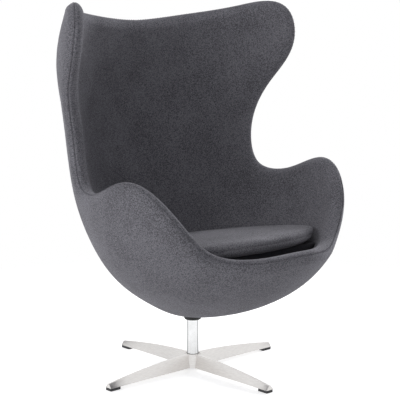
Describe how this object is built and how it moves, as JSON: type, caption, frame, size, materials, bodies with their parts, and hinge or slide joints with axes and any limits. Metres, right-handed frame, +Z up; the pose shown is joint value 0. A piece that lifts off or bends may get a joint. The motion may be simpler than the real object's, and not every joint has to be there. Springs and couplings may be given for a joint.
{
  "type": "pod lounge chair",
  "caption": "Upholstered pod lounge chair: a high wing shell in heather grey felt with a loose cushion, on a polished column and an aluminium star foot that swivels and tilts.",
  "frame": {"origin": "on the floor under the middle of the chair's outline; the column's axis stands 42 mm behind it", "axes": "+Z up, the front of the seat towards -Y, +X towards the sitter's left"},
  "size_m": [0.8596, 0.7866, 1.0714],
  "materials": {
    "shell_felt": "heather mid-grey wool felt",
    "cushion_felt": "heather mid-grey wool felt",
    "foam": "upholstery foam",
    "shell_plastic": "moulded shell",
    "star_aluminium": "satin brushed",
    "column_chrome": "polished",
    "collar_plastic": "black moulding",
    "glide_plastic": "dark grey moulding",
    "plate_steel": "black powder coat",
    "bright_steel": "zinc plated",
    "bush_plastic": "natural bearing plastic",
    "buffer_rubber": "black rubber",
    "insert_brass": "plain"
  },
  "bodies": {
    "base": {"star_base": "star_aluminium", "column_tube": "column_chrome", "upper_bush": "bush_plastic", "lower_bush": "bush_plastic", "thrust_washer": "bush_plastic", "column_plug": "bright_steel", "column_screw": "bright_steel", "glide_1": "glide_plastic", "glide_2": "glide_plastic", "glide_3": "glide_plastic", "glide_4": "glide_plastic", "glide_screws": "bright_steel"},
    "swivel": {"swivel_yoke": "plate_steel", "spindle": "bright_steel", "spindle_clip": "bright_steel", "tilt_pin": "bright_steel", "pin_clips": "bright_steel", "front_buffer": "buffer_rubber", "rear_buffer": "buffer_rubber"},
    "seat": {"shell_core": "shell_plastic", "outer_foam": "foam", "outer_cover": "shell_felt", "inner_foam": "foam", "inner_cover": "shell_felt", "seat_block": "foam", "mounting_plate": "plate_steel", "shell_inserts": "insert_brass", "seat_screws": "bright_steel", "seat_washers": "bright_steel", "tilt_cheeks": "plate_steel", "pivot_bushes": "bush_plastic", "column_collar": "collar_plastic"},
    "cushion": {"cushion_foam": "foam", "cushion_top_cover": "cushion_felt", "cushion_base_cover": "cushion_felt"}
  },
  "joints": [
    {"name": "swivel_turn", "type": "hinge", "parent": "base", "child": "swivel", "pos_m": [0, 0.042, 0.1575], "axis": [0, 0, 1], "continuous": true},
    {"name": "seat_tilt", "type": "hinge", "parent": "swivel", "child": "seat", "pos_m": [0, 0.042, 0.176], "axis": [-1, 0, 0], "range_deg": [0, 8], "stiffness_Nm_per_rad": 150, "springref_deg": -6.88, "deforming": ["rear_buffer"]},
    {"name": "cushion_lift", "type": "slide", "parent": "seat", "child": "cushion", "axis": [0, 0, 1], "range_m": [0, 0.2]}
  ]
}
